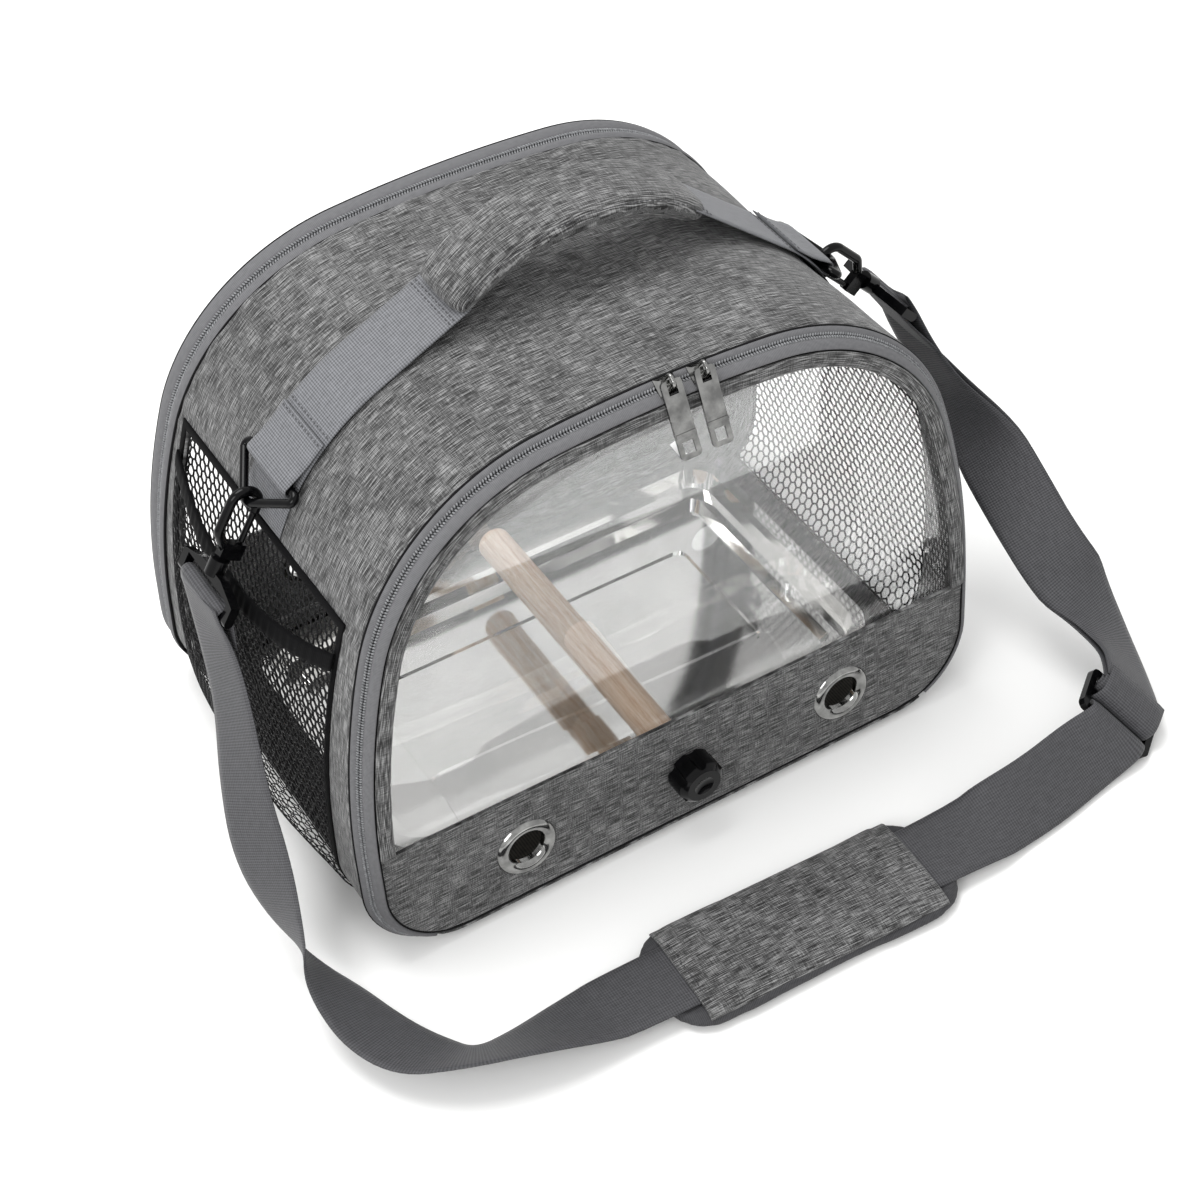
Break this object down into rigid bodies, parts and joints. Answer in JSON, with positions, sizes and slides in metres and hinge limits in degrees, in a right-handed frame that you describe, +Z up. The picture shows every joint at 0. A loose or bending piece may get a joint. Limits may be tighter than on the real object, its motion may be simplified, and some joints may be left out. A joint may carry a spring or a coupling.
{
  "type": "soft bird travel carrier",
  "caption": "Arched soft-sided travel carrier for a small bird, with zipped clear doors, mesh sides, a perch, a steel tray and a shoulder strap.",
  "frame": {"origin": "middle of the underside of the bag, on the surface it stands on", "axes": "+X to the right across the width, seen from the front door; +Y from the front door to the back door; +Z up"},
  "size_m": [0.4875, 0.377, 0.3281],
  "materials": {
    "heather_fabric": "heather weave",
    "mesh": "open black mesh",
    "black_tape": "woven tape",
    "webbing": "ribbed webbing",
    "zip_tape": "smooth tape",
    "zip_coil": "moulded coil",
    "clear_sheet": "clear and glossy",
    "chrome": "polished",
    "steel": "polished",
    "wood": "planed",
    "black_plastic": "satin black",
    "board": "plain"
  },
  "bodies": {
    "bag": {"gusset": "heather_fabric", "left_pocket": "mesh", "left_pocket_hem": "black_tape", "base_board": "board", "handle_grip": "heather_fabric", "shoulder_strap": "webbing", "adjuster": "black_plastic", "left_handle_web": "webbing", "left_mesh_window": "mesh", "left_window_binding": "black_tape", "left_strap_base": "black_plastic", "right_handle_web": "webbing", "right_mesh_window": "mesh", "right_window_binding": "black_tape", "right_strap_base": "black_plastic", "front_outer_tape": "zip_tape", "front_outer_coil": "zip_coil", "front_sill": "heather_fabric", "back_outer_tape": "zip_tape", "back_outer_coil": "zip_coil", "back_sill": "heather_fabric"},
    "front_door": {"front_inner_coil": "zip_coil", "front_inner_tape": "zip_tape", "front_border": "heather_fabric", "front_window": "clear_sheet", "front_eyelets": "chrome", "front_strip": "heather_fabric", "perch": "wood", "perch_washer": "steel", "perch_stud": "steel"},
    "back_door": {"back_inner_coil": "zip_coil", "back_inner_tape": "zip_tape", "back_border": "heather_fabric", "back_window": "clear_sheet", "back_eyelets": "chrome", "back_strip": "heather_fabric"},
    "knob": {"knob": "black_plastic"},
    "tray": {"tray": "steel"},
    "shoulder_pad": {"shoulder_pad": "heather_fabric"},
    "front_left_slider": {"front_left_slider": "chrome"},
    "front_left_pull": {"front_left_pull": "chrome"},
    "front_right_slider": {"front_right_slider": "chrome"},
    "front_right_pull": {"front_right_pull": "chrome"},
    "back_left_slider": {"back_left_slider": "chrome"},
    "back_left_pull": {"back_left_pull": "chrome"},
    "back_right_slider": {"back_right_slider": "chrome"},
    "back_right_pull": {"back_right_pull": "chrome"},
    "left_ring": {"left_ring": "black_plastic"},
    "left_hook": {"left_hook": "black_plastic"},
    "left_gate": {"left_gate": "black_plastic"},
    "right_ring": {"right_ring": "black_plastic"},
    "right_hook": {"right_hook": "black_plastic"},
    "right_gate": {"right_gate": "black_plastic"}
  },
  "joints": [
    {"name": "front_door_hinge", "type": "hinge", "parent": "bag", "child": "front_door", "pos_m": [0, -0.12575, 0.007], "axis": [1, 0, 0], "range_deg": [0, 60]},
    {"name": "back_door_hinge", "type": "hinge", "parent": "bag", "child": "back_door", "pos_m": [0, 0.12575, 0.0015], "axis": [-1, 0, 0], "range_deg": [0, 80]},
    {"name": "knob_turn", "type": "hinge", "parent": "front_door", "child": "knob", "pos_m": [0, -0.12481, 0.041], "axis": [0, 1, 0], "continuous": true},
    {"name": "tray_slide", "type": "slide", "parent": "bag", "child": "tray", "axis": [0, 1, 0], "range_m": [-0.02, 0.02]},
    {"name": "pad_slide", "type": "slide", "parent": "bag", "child": "shoulder_pad", "axis": [0.9994, -0.0349, 0], "range_m": [-0.01, 0.01]},
    {"name": "front_left_slider_travel", "type": "hinge", "parent": "front_door", "child": "front_left_slider", "pos_m": [0, -0.14866, -0.36996], "axis": [0, -0.9972, 0.0745], "range_deg": [0, 4.6]},
    {"name": "front_left_pull_swing", "type": "hinge", "parent": "front_left_slider", "child": "front_left_pull", "pos_m": [0.00302, -0.10407, 0.28376], "axis": [-1, 0.0003, 0.0046], "range_deg": [0, 100]},
    {"name": "front_right_slider_travel", "type": "hinge", "parent": "front_door", "child": "front_right_slider", "pos_m": [0, -0.14866, -0.36996], "axis": [0, 0.9972, -0.0745], "range_deg": [0, 2.6]},
    {"name": "front_right_pull_swing", "type": "hinge", "parent": "front_right_slider", "child": "front_right_pull", "pos_m": [0.02117, -0.10409, 0.28343], "axis": [-0.9995, 0.0024, 0.0322], "range_deg": [0, 100]},
    {"name": "back_left_slider_travel", "type": "hinge", "parent": "back_door", "child": "back_left_slider", "pos_m": [-0.265, 0.11115, 0.07009], "axis": [0, -0.9972, -0.0745], "range_deg": [0, 4.6]},
    {"name": "back_left_pull_swing", "type": "hinge", "parent": "back_left_slider", "child": "back_left_pull", "pos_m": [0.18261, 0.10647, 0.14083], "axis": [-0.1564, -0.0735, 0.9849], "range_deg": [0, 100]},
    {"name": "back_right_slider_travel", "type": "hinge", "parent": "back_door", "child": "back_right_slider", "pos_m": [-0.265, 0.11115, 0.07009], "axis": [0, 0.9972, 0.0745], "range_deg": [0, 2.6]},
    {"name": "back_right_pull_swing", "type": "hinge", "parent": "back_right_slider", "child": "back_right_pull", "pos_m": [0.18519, 0.10787, 0.12208], "axis": [-0.1149, -0.074, 0.9906], "range_deg": [0, 100]},
    {"name": "left_ring_swing", "type": "hinge", "parent": "bag", "child": "left_ring", "pos_m": [-0.15265, 0, 0.23007], "axis": [0, 1, 0], "range_deg": [-2.5, 1]},
    {"name": "left_hook_swivel", "type": "hinge", "parent": "bag", "child": "left_hook", "pos_m": [-0.1694, 0, 0.21556], "axis": [-0.515, 0, -0.8572], "range_deg": [-8, 8]},
    {"name": "left_gate_open", "type": "hinge", "parent": "left_hook", "child": "left_gate", "pos_m": [-0.17426, 0, 0.19329], "axis": [0, -1, 0], "range_deg": [0, 16], "stiffness_Nm_per_rad": 0.02, "springref_deg": -11.46},
    {"name": "right_ring_swing", "type": "hinge", "parent": "bag", "child": "right_ring", "pos_m": [0.15265, 0, 0.23007], "axis": [0, -1, 0], "range_deg": [-2.5, 1]},
    {"name": "right_hook_swivel", "type": "hinge", "parent": "bag", "child": "right_hook", "pos_m": [0.16978, 0, 0.21586], "axis": [0.6947, 0, -0.7193], "range_deg": [-8, 8]},
    {"name": "right_gate_open", "type": "hinge", "parent": "right_hook", "child": "right_gate", "pos_m": [0.17954, 0, 0.19525], "axis": [0, 1, 0], "range_deg": [0, 16], "stiffness_Nm_per_rad": 0.02, "springref_deg": -11.46}
  ]
}
